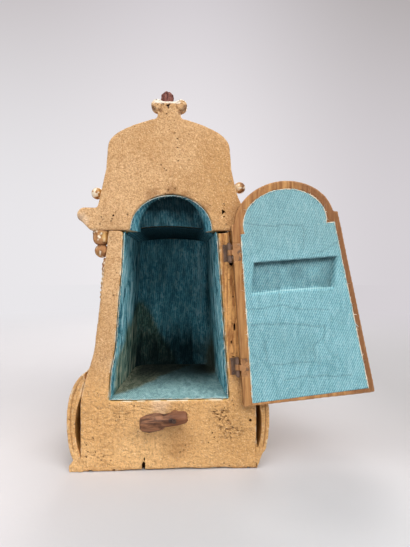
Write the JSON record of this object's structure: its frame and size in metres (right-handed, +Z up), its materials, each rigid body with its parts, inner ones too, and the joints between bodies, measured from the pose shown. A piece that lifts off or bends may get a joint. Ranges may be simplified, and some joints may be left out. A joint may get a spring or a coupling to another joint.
{
  "type": "reliquary",
  "caption": "Carved wooden reliquary with a bell-shaped gable, gilded front, cloth-lined relic chamber, hinged back door and a wooden turn button that shuts it.",
  "frame": {"origin": "centre of the underside of the base", "axes": "+X right as seen from the door side, +Y from the door side to the gilded front, +Z up"},
  "size_m": [0.268, 0.1852, 0.3336],
  "materials": {
    "ochre_paint": "matt ochre paint on wood, worn",
    "gilding": "worn gilding over gesso and bole on carved wood",
    "bare_wood": "bare aged wood",
    "dark_wood": "whittled dark wood",
    "bole_wood": "broken wood with red bole",
    "iron": "dark wrought iron",
    "cloth": "faded turquoise twill"
  },
  "bodies": {
    "body": {"body_block": "ochre_paint", "gable_board": "ochre_paint", "cornice_board": "gilding", "bell_roof": "gilding", "base_panel_front": "gilding", "base_panel_left": "gilding", "base_panel_right": "gilding", "front_frame": "gilding", "sun_rays": "gilding", "sun_boss": "gilding", "gable_bead_left": "gilding", "gable_bead_right": "gilding", "capital_rear_left": "gilding", "leaf_drop_rear_left": "gilding", "capital_rear_right": "gilding", "leaf_drop_rear_right": "gilding", "capital_front_left": "gilding", "leaf_drop_front_left": "gilding", "capital_front_right": "gilding", "leaf_drop_front_right": "gilding", "gable_dowel_left": "bare_wood", "gable_dowel_right": "bare_wood", "finial_peg": "bole_wood", "upper_hinge_frame_leaf": "iron", "upper_hinge_pin": "iron", "upper_frame_nail_top": "iron", "upper_frame_nail_foot": "iron", "lower_hinge_frame_leaf": "iron", "lower_hinge_pin": "iron", "lower_frame_nail_top": "iron", "lower_frame_nail_foot": "iron", "button_nail": "iron", "lining_floor": "cloth", "lining_far_wall": "cloth", "lining_ceiling": "cloth", "lining_niche": "cloth", "lining_left_wall": "cloth", "lining_right_wall": "cloth"},
    "door": {"door_board": "bare_wood", "door_lining": "cloth", "upper_hinge_door_leaf": "iron", "upper_door_nail_top": "iron", "upper_door_nail_foot": "iron", "lower_hinge_door_leaf": "iron", "lower_door_nail_top": "iron", "lower_door_nail_foot": "iron"},
    "button": {"turn_button": "dark_wood"}
  },
  "joints": [
    {"name": "door_hinge", "type": "hinge", "parent": "body", "child": "door", "pos_m": [0.06585, -0.0803, 0], "axis": [-0.0692, 0, 0.9976], "range_deg": [-180, 0]},
    {"name": "button_turn", "type": "hinge", "parent": "body", "child": "button", "pos_m": [0.0048, -0.076, 0.0486], "axis": [0, 1, 0], "continuous": true}
  ]
}
